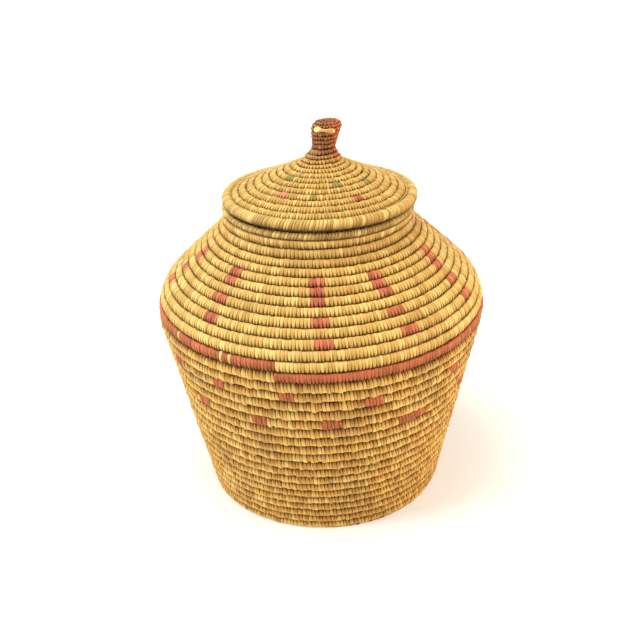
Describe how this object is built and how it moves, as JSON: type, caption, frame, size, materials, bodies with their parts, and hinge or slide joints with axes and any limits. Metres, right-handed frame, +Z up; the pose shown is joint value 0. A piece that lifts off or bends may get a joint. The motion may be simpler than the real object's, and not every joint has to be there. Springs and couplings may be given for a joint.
{
  "type": "lidded coiled basket jar",
  "caption": "Lidded jar of coiled grass with a wide shoulder, tapered wall, pink dyed band and blocks, and a low conical lid with a wrapped knob.",
  "frame": {"origin": "centre of the flat underside, on the surface that the jar stands on", "axes": "+Z up along the axis of the jar and the lid's lift, -Y towards the front, +X to the right seen from the front"},
  "size_m": [0.2372, 0.2372, 0.281],
  "materials": {
    "coiled_straw": "wrapped golden grass stitches over a grass coil, satin, dark in the grooves",
    "worn_straw": "browner and rougher grass stitches with small gaps, matt",
    "pink_grass": "grass stitches dyed faded salmon pink, satin",
    "brown_grass": "beady reddish-brown dyed grass stitches, satin",
    "gold_straw": "one glossy pale-gold straw strand"
  },
  "bodies": {
    "jar": {"base_disc": "worn_straw", "base_start_coil": "worn_straw", "belly_band": "pink_grass", "foot_coil": "worn_straw", "lower_wall": "worn_straw", "neck": "coiled_straw", "pink_lower_block_01": "pink_grass", "pink_lower_block_02": "pink_grass", "pink_lower_block_03": "pink_grass", "pink_lower_block_04": "pink_grass", "pink_lower_block_05": "pink_grass", "pink_lower_block_06": "pink_grass", "pink_lower_block_07": "pink_grass", "pink_lower_block_08": "pink_grass", "pink_lower_block_09": "pink_grass", "pink_lower_block_10": "pink_grass", "pink_stack_01": "pink_grass", "pink_stack_02": "pink_grass", "pink_stack_03": "pink_grass", "pink_stack_04": "pink_grass", "pink_stack_05": "pink_grass", "pink_stack_06": "pink_grass", "pink_stack_07": "pink_grass", "pink_stack_08": "pink_grass", "pink_stack_09": "pink_grass", "pink_stack_10": "pink_grass", "pink_upper_block_01": "pink_grass", "pink_upper_block_02": "pink_grass", "pink_upper_block_03": "pink_grass", "pink_upper_block_04": "pink_grass", "pink_upper_block_05": "pink_grass", "pink_upper_block_06": "pink_grass", "pink_upper_block_07": "pink_grass", "pink_upper_block_08": "pink_grass", "pink_upper_block_09": "pink_grass", "pink_upper_block_10": "pink_grass", "rim_coil": "coiled_straw", "shoulder": "coiled_straw"},
    "lid": {"knob_cap": "brown_grass", "knob_core": "worn_straw", "knob_stem": "brown_grass", "knob_tie": "gold_straw", "lid_crown": "brown_grass", "lid_dome": "coiled_straw", "lid_flange": "coiled_straw", "lid_rim_coil": "coiled_straw"}
  },
  "joints": [
    {"name": "lid_lift", "type": "slide", "parent": "jar", "child": "lid", "axis": [0, 0, 1], "range_m": [0, 0.12]}
  ]
}
